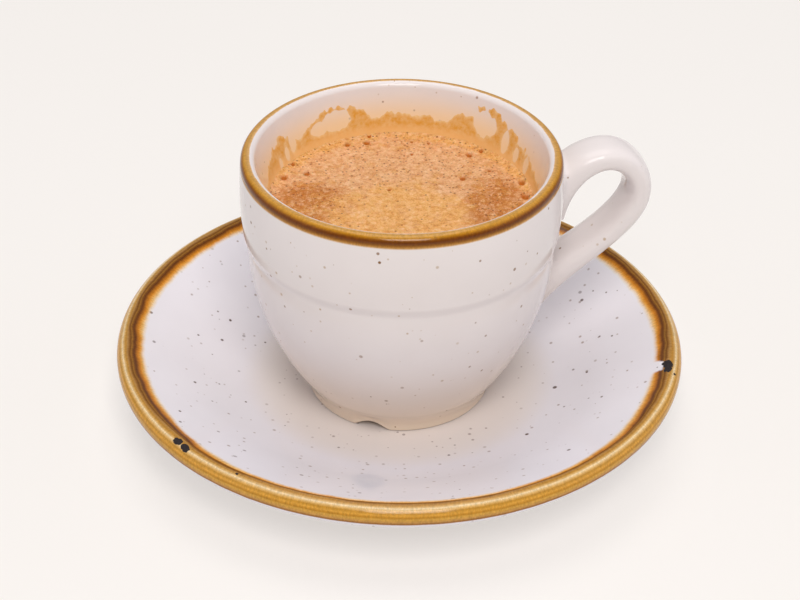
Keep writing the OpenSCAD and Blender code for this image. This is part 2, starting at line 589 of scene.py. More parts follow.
@dataclass(frozen=True)
class CremaFoam:
    """Coffee foam, freshly drawn: golden and satin in the middle, pale and pitted at
    the back, browner at the sides, with pinholes where small bubbles burst.
    """

    name: str = "crema_foam_drawn"
    froth: str = "#d9a473"
    golden: str = "#dca35a"
    brown: str = "#b2691c"
    # Painted shade between bubble clusters and a painted highlight on their tops
    shaded: str = "#a8602a"
    bubble_top_highlight: str = "#f0cba6"
    pit: str = "#6e3a18"
    hollow: str = "#ad5f14"

    def build(self) -> bpy.types.Material:
        """Makes the material.

        Returns:
            The material.
        """
        material, tree, spot = blank_material(self.name)
        golden, brown, frothy, sunk = (
            add(tree, "ShaderNodeAttribute", attribute_name=label).outputs["Fac"]
            for label in ("golden", "brown", "frothy", "sunk")
        )
        # Clots of colour about 2.5 mm across, and grain as fine as 0.35 mm
        clot = add(
            tree, "ShaderNodeTexNoise", {0: spot, "Scale": 1 / (2.4 * MM), "Detail": 6.0, "Roughness": 0.72}
        )
        fine = add(
            tree, "ShaderNodeTexNoise", {0: spot, "Scale": 1 / (0.42 * MM), "Detail": 3.0, "Roughness": 0.6}
        )
        shift = add(tree, "ShaderNodeMapRange", {0: clot, 1: 0.3, 2: 0.7, 3: -0.75, 4: 0.75})
        colour: Any = linear(self.froth)
        for amount, shade in ((brown, self.brown), (golden, self.golden)):
            total = add(tree, "ShaderNodeMath", {0: amount, 1: shift}, operation="ADD", use_clamp=True)
            colour = add(tree, "ShaderNodeMix", {0: total, 6: colour, 7: linear(shade)}, data_type="RGBA")
        # Pinholes of burst bubbles, about 0.8 mm apart where the foam is frothy
        cells = add(tree, "ShaderNodeTexVoronoi", {0: spot, "Scale": 1 / (0.85 * MM)})
        luck = add(tree, "ShaderNodeSeparateColor", {0: cells.outputs["Color"]})
        limit = add(tree, "ShaderNodeMapRange", {0: frothy, 3: 0.12, 4: 0.62})
        chosen = add(tree, "ShaderNodeMath", {0: luck.outputs[0], 1: limit}, operation="LESS_THAN")
        hole = add(
            tree, "ShaderNodeMapRange", {0: cells.outputs["Distance"], 1: 0.12, 2: 0.34, 3: 1.0, 4: 0.0},
            interpolation_type="SMOOTHSTEP"
        )
        pinhole = add(tree, "ShaderNodeMath", {0: hole, 1: chosen}, operation="MULTIPLY")
        sharp = add(tree, "ShaderNodeMath", {0: pinhole, 1: 0.75}, operation="MULTIPLY")
        # Clusters of bubbles about 1 mm across: red-brown painted shade between them, a pale painted
        # highlight on top
        cluster = add(
            tree, "ShaderNodeTexNoise", {0: spot, "Scale": 1 / (1.0 * MM), "Detail": 8.0, "Roughness": 0.85}
        )
        for end, most, shade in ((0.36, 0.75, self.shaded), (0.64, 0.7, self.bubble_top_highlight)):
            share = add(tree, "ShaderNodeMapRange", {0: cluster, 1: 0.5, 2: end, 3: 0.0, 4: most})
            colour = add(tree, "ShaderNodeMix", {0: share, 6: colour, 7: linear(shade)}, data_type="RGBA")
        deep = add(tree, "ShaderNodeMix", {0: sunk, 6: colour, 7: linear(self.hollow)}, data_type="RGBA")
        pitted = add(tree, "ShaderNodeMix", {0: sharp, 6: deep, 7: linear(self.pit)}, data_type="RGBA")
        height = add(tree, "ShaderNodeMath", {0: fine, 1: pinhole}, operation="SUBTRACT")
        bump = add(tree, "ShaderNodeBump", {"Strength": 0.45, "Distance": 0.1 * MM, "Height": height})
        shader = add(
            tree, "ShaderNodeBsdfPrincipled",
            {
                "Base Color": pitted, "Roughness": 0.42, "Normal": bump, "IOR": 1.34,
                "Subsurface Weight": 0.15, "Subsurface Scale": 0.4 * MM
            }
        )
        add(tree, "ShaderNodeOutputMaterial", {0: shader})
        return material


@dataclass(frozen=True)
class CoffeeFilm:
    """Dried-on crema, smeared up the wall: yellow-orange where thick, pale where thin."""

    name: str = "coffee_film_smeared"
    thin: str = "#e9c895"
    thick: str = "#db9a38"
    foot: str = "#eebb7a"
    foot_height: tuple[float, float] = (50.2, 52.4)

    def build(self) -> bpy.types.Material:
        """Makes the material.

        Returns:
            The material.
        """
        material, tree, spot = blank_material(self.name)
        depth = add(tree, "ShaderNodeAttribute", attribute_name="depth").outputs["Fac"]
        mottle = add(
            tree, "ShaderNodeTexNoise", {0: spot, "Scale": 1 / (1.1 * MM), "Detail": 4.0, "Roughness": 0.65}
        )
        mixed = add(tree, "ShaderNodeMath", {0: mottle, 1: 3.2, 2: depth}, operation="MULTIPLY_ADD")
        amount = add(tree, "ShaderNodeMapRange", {0: mixed, 1: 1.5, 2: 3.3})
        smeared = add(
            tree, "ShaderNodeMix", {0: amount, 6: linear(self.thin), 7: linear(self.thick)},
            data_type="RGBA"
        )
        # At its foot the film is still foam
        height = add(tree, "ShaderNodeSeparateXYZ", {0: spot}).outputs["Z"]
        foam = add(
            tree, "ShaderNodeMapRange",
            {0: height, 1: self.foot_height[0] * MM, 2: self.foot_height[1] * MM, 3: 0.85, 4: 0.0},
            interpolation_type="SMOOTHSTEP"
        )
        colour = add(tree, "ShaderNodeMix", {0: foam, 6: smeared, 7: linear(self.foot)}, data_type="RGBA")
        shader = add(tree, "ShaderNodeBsdfPrincipled", {"Base Color": colour, "Roughness": 0.3, "IOR": 1.4})
        add(tree, "ShaderNodeOutputMaterial", {0: shader})
        return material


@dataclass(frozen=True)
class BacklitPaper:
    """Matte translucent paper over a light table: pale warm white with no sheen.

    The light from below keeps the shadow on it soft and pale.
    """

    name: str = "studio_paper_backlit"
    colour: str = "#b4b2b0"
    glow: str = "#fbf6f0"
    glow_strength: float = 0.46

    def build(self) -> bpy.types.Material:
        """Makes the material.

        Returns:
            The material.
        """
        material = bpy.data.materials.new(self.name)
        material.use_nodes = True
        shader = material.node_tree.nodes["Principled BSDF"]
        shader.inputs["Base Color"].default_value = linear(self.colour)
        shader.inputs["Roughness"].default_value = 1.0
        shader.inputs["Specular IOR Level"].default_value = 0.0
        shader.inputs["Emission Color"].default_value = linear(self.glow)
        shader.inputs["Emission Strength"].default_value = self.glow_strength
        return material


@dataclass(frozen=True)
class PottersWheel:
    """Turns a profile round the vertical axis, as clay is turned on a wheel."""

    segments: int

    def tree(self) -> bpy.types.NodeTree:
        """Builds the geometry tree.

        Returns:
            The tree, which takes a profile in the XZ plane.
        """
        tree, given = geometry_tree("turned_on_a_wheel", {"Segments": "NodeSocketInt"})
        profile = given.outputs["Geometry"]
        count = add(
            tree, "GeometryNodeAttributeDomainSize", {0: profile}, component="MESH"
        ).outputs["Point Count"]
        columns = add(tree, "ShaderNodeMath", {0: given.outputs["Segments"], 1: 1.0}, operation="ADD")
        sheet = add(tree, "GeometryNodeMeshGrid", {"Vertices X": columns, "Vertices Y": count})
        index = add(tree, "GeometryNodeInputIndex")
        share = add(tree, "ShaderNodeMath", {0: index, 1: count}, operation="DIVIDE")
        # Each column of the sheet is a copy of the profile, and each row one of its points
        column = add(tree, "ShaderNodeMath", {0: share}, operation="FLOOR")
        row = add(tree, "ShaderNodeMath", {0: index, 1: count}, operation="FLOORED_MODULO")
        place = add(tree, "GeometryNodeInputPosition")
        taken = add(
            tree, "GeometryNodeSampleIndex", {0: profile, 1: place, "Index": row}, data_type="FLOAT_VECTOR",
            domain="POINT"
        )
        edge = add(tree, "GeometryNodeInputNamedAttribute", {"Name": "across"}, data_type="FLOAT")
        carried = add(
            tree, "GeometryNodeSampleIndex", {0: profile, 1: edge, "Index": row}, data_type="FLOAT",
            domain="POINT"
        )
        turn = add(tree, "ShaderNodeMath", {0: column, 1: given.outputs["Segments"]}, operation="DIVIDE")
        angle = add(tree, "ShaderNodeMath", {0: turn, 1: math.tau}, operation="MULTIPLY")
        turned = add(tree, "ShaderNodeVectorRotate", {0: taken, "Angle": angle}, rotation_type="Z_AXIS")
        formed = add(tree, "GeometryNodeSetPosition", {0: sheet, "Position": turned})
        marked = add(
            tree, "GeometryNodeStoreNamedAttribute", {0: formed, "Name": "across", "Value": carried},
            data_type="FLOAT", domain="POINT"
        )
        sealed = add(tree, "GeometryNodeMergeByDistance", {0: marked, "Distance": WELD})
        close_tree(tree, given, sealed)
        return tree

    def turn(
        self, name: str, profile: list[Point], across: np.ndarray, finish: bpy.types.Material
    ) -> bpy.types.Object:
        """Turns a profile into a closed body.

        Args:
            name: Name of the piece.
            profile: Radius and height of each point in mm, from axis to axis.
            across: Distance of each point from the edge's crest in mm.
            finish: The material.

        Returns:
            The body, with its faces outwards.
        """
        line = np.array([(r, 0.0, z) for r, z in profile])
        steps = [(i, i + 1) for i in range(len(line) - 1)]
        start = plain_mesh(name + "_profile", line, steps, [], {"across": across})
        body = grown(name, start, self.tree(), {"Segments": self.segments, "Finish": finish})
        outwards(body.data)
        return body


def outwards(mesh: bpy.types.Mesh) -> None:
    """Points a closed mesh's faces outwards, smooths them and drops those with no area.

    Args:
        mesh: The mesh, changed in place.
    """
    work = bmesh.new()
    work.from_mesh(mesh)
    bmesh.ops.dissolve_degenerate(work, dist=0.0005 * MM, edges=work.edges)
    bmesh.ops.recalc_face_normals(work, faces=work.faces)
    for face in work.faces:
        face.smooth = True
    work.to_mesh(mesh)
    work.free()


@dataclass(frozen=True)
class Chip:
    """A chip in the saucer's lip."""

    azimuth: float
    across: float
    length: float
    width: float
    depth: float
    turn: float = 0.0


@dataclass(frozen=True)
class Saucer:
    """The saucer: a shallow turned dish with a rolled, iron-banded lip."""

    diameter: float = 118.0
    height: float = 17.6
    lip_thickness: float = 5.0
    slope: float = 26.0
    seat_height: float = 5.5
    seat_radius: float = 21.0
    foot_radius: float = 33.5
    foot_width: float = 3.6
    hollow: float = 1.6
    foot_round: float = 0.7
    wiped: float = 0.2
    short_azimuth: float = -98.0
    short_by: float = 2.2
    segments: int = 600
    chips: tuple[Chip, ...] = (
        Chip(-149.2, -0.95, 2.2, 1.5, 0.3, 14.0), Chip(-146.7, -1.15, 2.3, 1.5, 0.3, -10.0),
        Chip(-133.4, -0.6, 0.6, 0.5, 0.2), Chip(-21.7, 0.35, 2.6, 2.3, 0.4, 20.0),
        Chip(-23.6, 0.1, 2.4, 1.5, 0.35, -15.0), Chip(-24.6, -1.6, 0.7, 0.6, 0.15)
    )

    @property
    def lip(self) -> tuple[Point, float]:
        """Centre and radius of the lip's round."""
        radius = self.lip_thickness / 2
        return (self.diameter / 2 - radius, self.height - radius), radius

    def profile(self) -> list[Point]:
        """The section, from the middle of the seat outwards and back underneath."""
        centre, radius = self.lip
        lean = math.radians(self.slope)
        top = (centre[0] - radius * math.sin(lean), centre[1] + radius * math.cos(lean))
        start = top[0] - (top[1] - self.seat_height) / math.tan(lean)
        blend = (start - self.seat_radius) / math.tan(lean / 2)
        foot_top = (self.foot_radius + 0.5, self.hollow + 1.6)
        span = (centre[0] - foot_top[0], centre[1] - foot_top[1])
        under = math.atan2(span[1], span[0]) - math.asin(radius / math.hypot(*span))
        under_deg = math.degrees(under)
        curve = arc((self.seat_radius, self.seat_height + blend), blend, -90, self.slope - 90, 26)
        lip = arc(centre, radius, self.slope + 90, under_deg - 90, 60)
        inner = self.foot_radius - self.foot_width
        fr = self.foot_round
        foot = arc((self.foot_radius - fr, fr), fr, 0, -90, 6) + arc((inner + fr, fr), fr, -90, -180, 6)
        return [
            (0.0, self.seat_height), *straight((0, self.seat_height), curve[0], 6), *curve,
            *straight(curve[-1], lip[0], 14), *lip, *straight(lip[-1], foot_top, 12), foot_top, *foot,
            (inner - 0.6, self.hollow), *straight((inner - 0.6, self.hollow), (0, self.hollow), 4),
            (0.0, self.hollow)
        ]

    def build(self, finish: bpy.types.Material, bare: bpy.types.Material) -> bpy.types.Object:
        """Makes the saucer.

        Args:
            finish: The glaze.
            bare: The wiped foot ring's material.

        Returns:
            The piece.
        """
        profile = self.profile()
        line = np.array(profile)
        length = np.concatenate([[0], np.cumsum(np.hypot(*np.diff(line, axis=0).T))])
        across = length[int(line[:, 1].argmax())] - length
        saucer = PottersWheel(self.segments).turn("saucer_dish", profile, across, finish)
        self.narrow(saucer.data)
        self.chip(saucer.data)
        saucer.data.materials.append(bare)
        for face in saucer.data.polygons:
            if face.center.z < self.wiped * MM:
                face.material_index = 1
        return saucer

    def narrow(self, mesh: bpy.types.Mesh) -> None:
        """Lets the band's inner run get short towards the near side of the lip.

        Args:
            mesh: The saucer's mesh, whose marks change in place.
        """
        places = points_of(mesh)
        values = np.zeros(len(places), np.float32)
        mesh.attributes["across"].data.foreach_get("value", values)
        turn = np.radians(self.short_azimuth)
        facing = (
            places[:, 0] * math.cos(turn) + places[:, 1] * math.sin(turn)
        ) / np.maximum(np.hypot(places[:, 0], places[:, 1]), 1)
        near = smooth_step(0.35, 0.97, facing)
        mark(mesh, "across", values + self.short_by * near * smooth_step(0, 0.35, values))

    def chip(self, mesh: bpy.types.Mesh) -> None:
        """Breaks the chips out of the lip and marks them.

        Args:
            mesh: The saucer's mesh, changed in place.
        """
        middle = self.diameter / 2 - self.lip_thickness / 2
        work = bmesh.new()
        work.from_mesh(mesh)
        edge = work.verts.layers.float["across"]
        near: dict[bmesh.types.BMEdge, None] = {}
        for vert in work.verts:
            angle = math.degrees(math.atan2(vert.co.y, vert.co.x))
            for chip in self.chips:
                along = math.radians(angle - chip.azimuth) * middle
                if abs(along) < chip.length and abs(vert[edge] - chip.across) < chip.width:
                    near.update(dict.fromkeys(vert.link_edges))
        bmesh.ops.subdivide_edges(work, edges=list(near), cuts=2, use_grid_fill=True)
        work.normal_update()
        broken = work.verts.layers.float.new("chip")
        bare = work.verts.layers.float.new("bare")
        biggest = max(self.chips, key=lambda c: c.length)
        moves = []
        for vert in work.verts:
            if not -6 < vert[edge] < 6:
                continue
            angle = math.degrees(math.atan2(vert.co.y, vert.co.x))
            spot = vert.co / MM
            total = 0.0
            drop = 0.0
            for chip in self.chips:
                along = math.radians(angle - chip.azimuth) * middle
                over = vert[edge] - chip.across
                if abs(along) > chip.length * 1.5 or abs(over) > chip.width * 1.5:
                    continue
                turn = math.radians(chip.turn)
                u = along * math.cos(turn) + over * math.sin(turn)
                v = over * math.cos(turn) - along * math.sin(turn)
                distance = (abs(2 * u / chip.length) ** 3 + abs(2 * v / chip.width) ** 3) ** (1 / 3)
                distance += 0.22 * grain(spot, 0.5, chip.azimuth)
                inside = float(smooth_step(1.12, 0.86, np.array(distance)))
                total = max(total, inside)
                drop = max(drop, inside * chip.depth * (1 + 0.4 * grain(spot, 0.35, 3.0)))
            if total > 0:
                moves.append((vert, vert.normal * drop * MM))
                vert[broken] = total
            # The band's run has come away inside the biggest chip
            along = math.radians(angle - biggest.azimuth + 0.6) * middle
            gone = abs(along) + 0.5 * grain(spot, 1.2, 8.0) - 0.25 * (vert[edge] - 1.0)
            vert[bare] = float(
                smooth_step(1.9, 1.3, np.array(gone)) * smooth_step(0.9, 1.4, np.array(vert[edge]))
            )
        for vert, move in moves:
            vert.co -= move
        work.to_mesh(mesh)
        work.free()


@dataclass(frozen=True)
class Handle:
    """The loop handle: a strap swept along two smooth bends, thicker at its roots."""

    root: Point = (29.0, 45.57)
    root_lead: float = 19.21
    root_angle: float = 62.37
    back: Point = (48.94, 48.54)
    lead_up: float = 8.07
    lead_down: float = 8.82
    tail: Point = (25.5, 24.34)
    tail_lead: float = 10.96
    tail_angle: float = 47.47
    thickness: float = 5.19
    root_thickness: float = 10.66
    tail_thickness: float = 9.56
    root_share: float = 0.29
    tail_share: float = 0.36
    width: float = 9.52
    squareness: float = 2.69
    fillet: float = 1.3
    cut_top: Point = (29.3, 44.0)
    cut_foot: Point = (24.5, 22.0)
    stations: int = 150
    around: int = 72

    def spine(self) -> bpy.types.Curve:
        """The strap's centreline as a curve of two Bezier spans."""
        curve = bpy.data.curves.new("handle_spine", "CURVE")
        curve.dimensions = "3D"
        curve.resolution_u = 64
        spline = curve.splines.new("BEZIER")
        spline.bezier_points.add(2)
        rise, fall = math.radians(self.root_angle), math.radians(self.tail_angle)
        leads = (
            (self.root, (0, 0), (math.cos(rise) * self.root_lead, math.sin(rise) * self.root_lead)),
            (self.back, (0, self.lead_up), (0, -self.lead_down)),
            (self.tail, (math.cos(fall) * self.tail_lead, math.sin(fall) * self.tail_lead), (0, 0))
        )
        for point, (place, before, after) in zip(spline.bezier_points, leads):
            point.handle_left_type = point.handle_right_type = "FREE"
            point.co = Vector((place[0], 0, place[1])) * MM
            point.handle_left = point.co + Vector((before[0], 0, before[1])) * MM
            point.handle_right = point.co + Vector((after[0], 0, after[1])) * MM
        return curve

    def tree(self) -> bpy.types.NodeTree:
        """Builds the geometry tree that sweeps the strap and flares it onto the body.

        Returns:
            The tree, which takes the spine.
        """
        tree, given = geometry_tree(
            "swept_strap",
            {
                "Stations": "NodeSocketInt", "Around": "NodeSocketInt", "Thickness": "NodeSocketFloat",
                "Root thickness": "NodeSocketFloat", "Tail thickness": "NodeSocketFloat",
                "Root share": "NodeSocketFloat", "Tail share": "NodeSocketFloat",
                "Width": "NodeSocketFloat", "Squareness": "NodeSocketFloat", "Fillet": "NodeSocketFloat",
                "Body": "NodeSocketObject"
            }
        )
        value = {socket.name: socket for socket in given.outputs}
        rows = add(tree, "ShaderNodeMath", {0: value["Around"], 1: 1.0}, operation="ADD")
        sheet = add(tree, "GeometryNodeMeshGrid", {"Vertices X": value["Stations"], "Vertices Y": rows})
        spread = add(tree, "ShaderNodeSeparateXYZ", {0: sheet.outputs["UV Map"]})
        value["along"], value["turn"] = spread.outputs["X"], spread.outputs["Y"]
        # Each row is a result, an operation and what it works on
        for result, operation, *terms in (
            ("angle", "MULTIPLY", "turn", math.tau),
            ("left", "SUBTRACT", 1.0, "along"),
            ("power", "DIVIDE", 2.0, "Squareness"),
            ("root gone", "DIVIDE", "along", "Root share"),
            ("tail gone", "DIVIDE", "left", "Tail share"),
            ("root reach", "SUBTRACT", 1.0, "root gone"),
            ("tail reach", "SUBTRACT", 1.0, "tail gone"),
            ("root near", "MAXIMUM", "root reach", 0.0),
            ("tail near", "MAXIMUM", "tail reach", 0.0),
            ("root ease", "POWER", "root near", 2.0),
            ("tail ease", "POWER", "tail near", 2.0),
            ("root more", "SUBTRACT", "Root thickness", "Thickness"),
            ("tail more", "SUBTRACT", "Tail thickness", "Thickness"),
            ("rooted", "MULTIPLY_ADD", "root more", "root ease", "Thickness"),
            ("thick", "MULTIPLY_ADD", "tail more", "tail ease", "rooted"),
            ("up wave", "COSINE", "angle"),
            ("side wave", "SINE", "angle"),
            ("up size", "ABSOLUTE", "up wave"),
            ("side size", "ABSOLUTE", "side wave"),
            ("up bent", "POWER", "up size", "power"),
            ("side bent", "POWER", "side size", "power"),
            ("up sign", "SIGN", "up wave"),
            ("side sign", "SIGN", "side wave"),
            ("up unit", "MULTIPLY", "up bent", "up sign"),
            ("side unit", "MULTIPLY", "side bent", "side sign"),
            ("up half", "MULTIPLY", "thick", 0.5),
            ("side half", "MULTIPLY", "Width", 0.5),
            ("up", "MULTIPLY", "up unit", "up half"),
            ("side", "MULTIPLY", "side unit", "side half"),
        ):
            sources = {slot: value.get(term, term) for slot, term in enumerate(terms)}
            value[result] = add(tree, "ShaderNodeMath", sources, operation=operation)
        sample = add(
            tree, "GeometryNodeSampleCurve", {"Curves": value["Geometry"], "Factor": value["along"]},
            mode="FACTOR", use_all_curves=True
        )
        outward = add(
            tree, "ShaderNodeVectorMath", {0: sample.outputs["Tangent"], 1: (0, 1, 0)},
            operation="CROSS_PRODUCT"
        )
        side = add(tree, "ShaderNodeCombineXYZ", {"Y": value["side"]})
        edge = add(
            tree, "ShaderNodeVectorMath", {0: outward, 1: value["up"], 2: side}, operation="MULTIPLY_ADD"
        )
        place = add(tree, "ShaderNodeVectorMath", {0: sample.outputs["Position"], 1: edge}, operation="ADD")
        swept = add(tree, "GeometryNodeSetPosition", {0: sheet, "Position": place})
        sealed = add(tree, "GeometryNodeMergeByDistance", {0: swept, "Distance": WELD})
        # Near the body the strap flares out along it, as the quarter round of a fillet
        body = add(tree, "GeometryNodeObjectInfo", {0: value["Body"]})
        near = add(tree, "GeometryNodeProximity", {0: body.outputs["Geometry"]}, target_element="FACES")
        value["gap"] = near.outputs["Distance"]
        for result, operation, *terms in (
            ("close", "MINIMUM", "gap", "Fillet"),
            ("inner", "SUBTRACT", "Fillet", "close"),
            ("inner square", "MULTIPLY", "inner", "inner"),
            ("fillet square", "MULTIPLY", "Fillet", "Fillet"),
            ("rest square", "SUBTRACT", "fillet square", "inner square"),
            ("rest", "SQRT", "rest square"),
            ("flare", "SUBTRACT", "Fillet", "rest"),
        ):
            sources = {slot: value.get(term, term) for slot, term in enumerate(terms)}
            value[result] = add(tree, "ShaderNodeMath", sources, operation=operation)
        normal = add(tree, "GeometryNodeInputNormal")
        spot = add(tree, "GeometryNodeInputPosition")
        apart = add(
            tree, "ShaderNodeVectorMath", {0: spot, 1: near.outputs["Position"]}, operation="SUBTRACT"
        )
        facing = add(tree, "ShaderNodeVectorMath", {0: normal, 1: apart}, operation="PROJECT")
        slide = add(tree, "ShaderNodeVectorMath", {0: normal, 1: facing}, operation="SUBTRACT")
        push = add(tree, "ShaderNodeVectorMath", {0: slide, "Scale": value["flare"]}, operation="SCALE")
        flared = add(tree, "GeometryNodeSetPosition", {0: sealed, "Offset": push})
        close_tree(tree, given, flared)
        return tree

    def build(self, body: bpy.types.Object, finish: bpy.types.Material) -> bpy.types.Object:
        """Sweeps the handle and cuts its ends off inside the wall.

        Args:
            body: The cup's body.
            finish: The glaze.

        Returns:
            The closed handle.
        """
        strap = grown(
            "handle", self.spine(), self.tree(),
            {
                "Stations": self.stations, "Around": self.around, "Thickness": self.thickness * MM,
                "Root thickness": self.root_thickness * MM, "Tail thickness": self.tail_thickness * MM,
                "Root share": self.root_share, "Tail share": self.tail_share, "Width": self.width * MM,
                "Squareness": self.squareness, "Fillet": self.fillet * MM, "Body": body, "Finish": finish
            }
        )
        work = bmesh.new()
        work.from_mesh(strap.data)
        # A slanting plane that stays between the wall's two faces
        high, low = (Vector((x, 0, z)) * MM for x, z in (self.cut_top, self.cut_foot))
        run = high - low
        cut = bmesh.ops.bisect_plane(
            work, geom=[*work.verts, *work.edges, *work.faces], dist=1e-7, plane_co=high,
            plane_no=Vector((run.z, 0, -run.x)).normalized(), clear_inner=True
        )
        rim = [e for e in cut["geom_cut"] if isinstance(e, bmesh.types.BMEdge)]
        bmesh.ops.holes_fill(work, edges=rim, sides=0)
        bmesh.ops.recalc_face_normals(work, faces=work.faces)
        work.to_mesh(strap.data)
        work.free()
        return strap


@dataclass(frozen=True)
class Cup:
    """The cup: a turned body on a notched foot, with its handle in one piece."""

    base: float = 5.5
    rim_diameter: float = 64.0
    height: float = 55.0
    lip_thickness: float = 2.9
    swell: float = 0.35
    step_height: float = 36.2
    step_in: float = 0.75
    step_rise: float = 3.0
    foot_radius: float = 19.0
    foot_height: float = 2.6
    foot_width: float = 3.4
    hollow: float = 2.2
    notch_width: float = 7.8
    notch_height: float = 1.8
    notch_azimuth: float = -118.0
    floor: float = 7.0
    fill_depth: float = 11.0
    wall_at_fill: float = 5.7
    wall_radius: float = 85.0
    wiped: float = 0.12
    segments: int = 512
    handle: Handle = Handle()

    @property
    def fill_height(self) -> float:
        """Height of the coffee above the cup's foot."""
        return self.height - self.fill_depth

    @property
    def fill_radius(self) -> float:
        """Radius of the cavity at the coffee's surface."""
        return self.rim_diameter / 2 + self.swell - self.wall_at_fill

    @property
    def lip(self) -> tuple[Point, float]:
        """Centre and radius of the lip's round, above the foot."""
        radius = self.lip_thickness / 2
        return (self.rim_diameter / 2 - radius, self.height - radius), radius

    def cavity(self) -> list[Point]:
        """The cavity's wall from the coffee's surface down to the middle of its floor."""
        wall = (self.fill_radius - self.wall_radius, self.fill_height)
        span = self.fill_height - self.floor
        bowl = (self.wall_radius**2 - wall[0] ** 2 - span**2) / (2 * (self.wall_radius - span))
        centre = (0.0, self.floor + bowl)
        end = math.degrees(math.atan2(centre[1] - wall[1], -wall[0]))
        return arc(wall, self.wall_radius, 0, end, 10) + arc(centre, bowl, end, -90, 14)[1:]

    def wall_at(self, height: np.ndarray) -> np.ndarray:
        """Radius of the inner wall above the coffee.

        Args:
            height: Heights above the cup's foot in mm.

        Returns:
            The wall's radius at each height.
        """
        centre, radius = self.lip
        rise = centre[1] - self.fill_height
        run = centre[0] - radius - self.fill_radius
        return self.fill_radius + (height - self.fill_height) * run / rise

    def profile(self) -> list[Point]:
        """The section above the foot, from the underside's middle round to the floor's."""
        rim = self.rim_diameter / 2
        centre, radius = self.lip
        mid = (self.step_height + self.height) / 2 + 1
        widest = rim + self.swell
        half = centre[1] - mid
        bow = (half**2 + self.swell**2) / (2 * self.swell + 0.001)

        def band(h: float) -> float:
            """Radius of the upper band at a height."""
            return widest - bow + math.sqrt(bow**2 - (h - mid) ** 2)

        band_foot = self.step_height + self.step_rise
        belly_radius = rim - self.step_in
        start = (self.foot_radius + 0.24, self.foot_height)
        belly_top = self.step_height + 1.4
        rise, run = belly_top - start[1], belly_radius - start[0]
        curve = (run**2 + rise**2) / (2 * run)
        belly = arc(
            (belly_radius - curve, belly_top), curve, -math.degrees(math.asin(rise / curve)),
            -math.degrees(math.asin((belly_top - self.step_height) / curve)), 30
        )
        inner = self.foot_radius - self.foot_width
        fr = 0.5
        foot = arc((inner + fr, fr), fr, 180, 270, 5) + arc((self.foot_radius - fr, fr), fr, -90, 0, 5)
        # A soft hollow runs from the foot into the belly
        belly = [p for p in belly if p[1] > self.foot_height + 2.2]
        first, last = (self.foot_radius, 0.6), belly[0]
        bend = (self.foot_radius - 0.12, self.foot_height - 0.1)
        groove = [
            (
                (1 - t) ** 2 * first[0] + 2 * t * (1 - t) * bend[0] + t**2 * last[0],
                (1 - t) ** 2 * first[1] + 2 * t * (1 - t) * bend[1] + t**2 * last[1]
            ) for t in np.linspace(0.05, 0.95, 14)
        ]
        step = []
        for i in range(1, 12):
            t = i / 12
            ease = (1 - math.cos(math.pi * t)) / 2
            h = self.step_height + (band_foot - self.step_height) * t
            step.append((belly[-1][0] + (band(band_foot) - belly[-1][0]) * ease, h))
        upper = [(band(h), h) for h in np.linspace(band_foot, centre[1], 16)]
        rise_in = centre[1] - self.fill_height
        run_in = centre[0] - radius - self.fill_radius
        lean = math.degrees(math.atan2(rise_in, run_in))
        lip = arc(centre, radius, 4, 90 + lean, 46)
        cavity = self.cavity()
        return [
            (0.0, self.hollow), *straight((0, self.hollow), (inner - 0.8, self.hollow), 3),
            (inner - 0.8, self.hollow), *foot, *groove, *belly, *step, *upper, *lip,
            *straight(lip[-1], cavity[0], 14), *cavity
        ]

    def lip_distance(self, points: np.ndarray) -> np.ndarray:
        """Distance of points from the rim's crest along the surface, inwards positive.

        Args:
            points: Places in mm.

        Returns:
            The distances in mm; the handle counts as far away.
        """
        centre, radius = self.lip
        out = np.hypot(points[:, 0], points[:, 1]) - centre[0]
        up = points[:, 2] - self.base - centre[1]
        quarter = math.pi / 2 * radius
        over = (np.arctan2(up, out) - math.pi / 2) * radius
        below = np.where(out > 0, up - quarter, quarter - up)
        distance = np.where(up >= 0, over, below)
        return np.where((out > 3.5) | (up < -14), -20.0, distance)

    def notch(self, points: np.ndarray) -> np.ndarray:
        """Presses the drain notch up into the foot ring.

        Args:
            points: Places in mm, above the cup's foot.

        Returns:
            The moved places.
        """
        turn = math.radians(self.notch_azimuth)
        along = points[:, 0] * math.cos(turn) + points[:, 1] * math.sin(turn)
        side = np.abs(points[:, 1] * math.cos(turn) - points[:, 0] * math.sin(turn))
        half = self.notch_width / 2
        arch = self.notch_height * np.cos(np.clip(side / half, 0, 1) * math.pi / 2) ** 1.25
        zone = 4.2
        squeeze = np.clip(1 - points[:, 2] / zone, 0, 1) ** 1.3
        radius = np.hypot(points[:, 0], points[:, 1])
        inner = self.foot_radius - self.foot_width
        ring = smooth_step(inner - 1.4, inner - 0.4, radius)
        moved = points.copy()
        moved[:, 2] += np.where(along > 0, arch * squeeze * ring, 0)
        return moved

    def build(self, finish: bpy.types.Material, bare: bpy.types.Material) -> bpy.types.Object:
        """Makes the cup.

        Args:
            finish: The glaze.
            bare: The wiped foot ring's material.

        Returns:
            The piece.
        """
        profile = self.profile()
        cup = PottersWheel(self.segments).turn("cup_with_handle", profile, np.zeros(len(profile)), finish)
        raised = self.notch(points_of(cup.data)) + np.array([0, 0, self.base])
        move_points(cup.data, raised)
        handle = self.handle.build(cup, finish)
        join = cup.modifiers.new("join", "BOOLEAN")
        join.operation, join.object, join.solver = "UNION", handle, "EXACT"
        graph = bpy.context.evaluated_depsgraph_get()
        joined = bpy.data.meshes.new_from_object(
            cup.evaluated_get(graph), preserve_all_data_layers=True, depsgraph=graph
        )
        cup.modifiers.remove(join)
        bpy.data.objects.remove(handle)
        cup.data = joined
        joined.name = "cup_with_handle"
        mark(joined, "across", self.lip_distance(points_of(joined)))
        joined.materials.clear()
        joined.materials.append(finish)
        joined.materials.append(bare)
        for face in joined.polygons:
            face.use_smooth = True
            face.material_index = int(face.center.z < (self.base + self.wiped) * MM)
        return cup


@dataclass(frozen=True)
class Hollow:
    """A larger burst bubble in the foam."""

    x: float
    y: float
    radius: float


